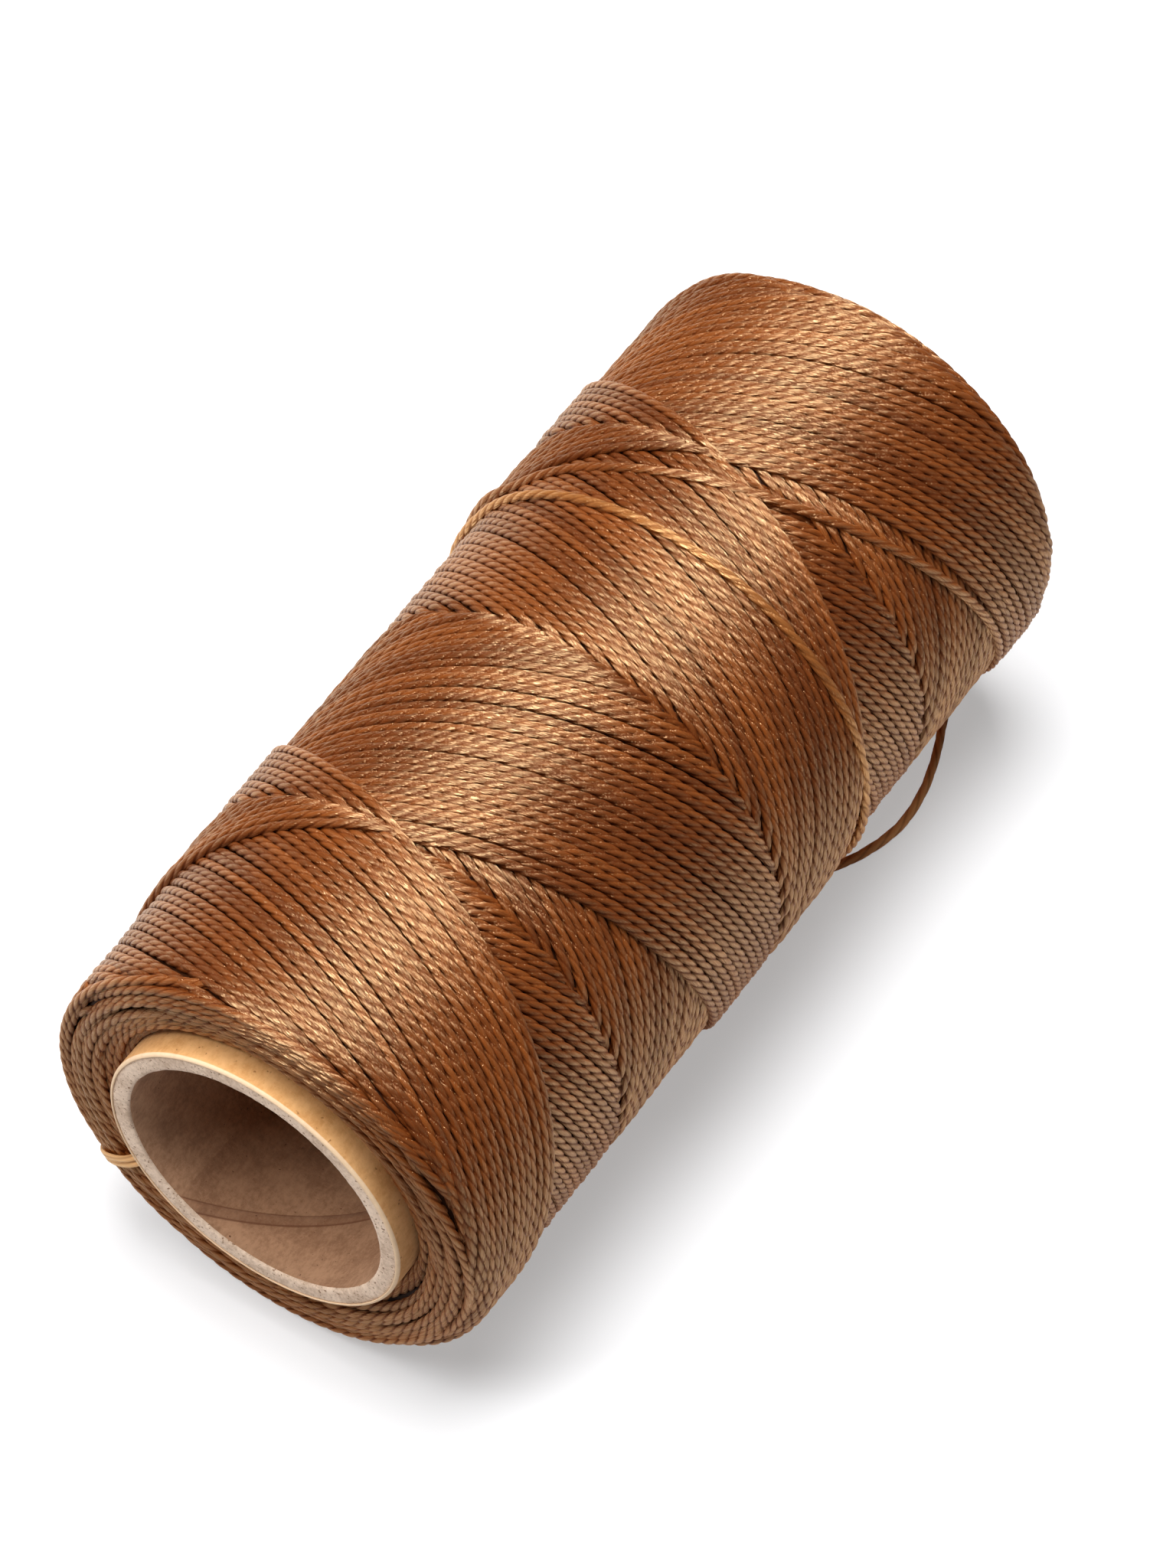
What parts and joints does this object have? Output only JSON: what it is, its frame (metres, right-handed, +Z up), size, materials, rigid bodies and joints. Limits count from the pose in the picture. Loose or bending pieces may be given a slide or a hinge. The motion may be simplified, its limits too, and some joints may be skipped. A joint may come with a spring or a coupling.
{
  "type": "waxed thread spool",
  "caption": "Cylindrical cross-wound package of brown waxed thread on a short paper tube, lying on its side with a loose loop of thread.",
  "frame": {"origin": "on the surface the spool lies on, under the middle of its length", "axes": "+X along the spool's axis, away from the end with the folded start of the thread; +Z up; the loose loop lies on the -Y side"},
  "size_m": [0.1076, 0.0523, 0.05],
  "materials": {
    "liner": "matte grey-brown kraft",
    "chipboard": "fibrous grey chipboard",
    "kraft": "matte tan kraft",
    "thread": "waxed, satin",
    "golden_thread": "waxed, satin"
  },
  "bodies": {
    "root": {"tube_liner": "liner", "tube_inner_ply": "chipboard", "tube_outer_ply": "chipboard", "tube_wrap": "kraft", "buried_layers": "thread", "outer_layers": "thread", "last_pass": "thread", "finishing_wrap": "golden_thread", "start_strand_1": "golden_thread", "start_strand_2": "golden_thread", "loose_loop": "thread"}
  },
  "joints": []
}
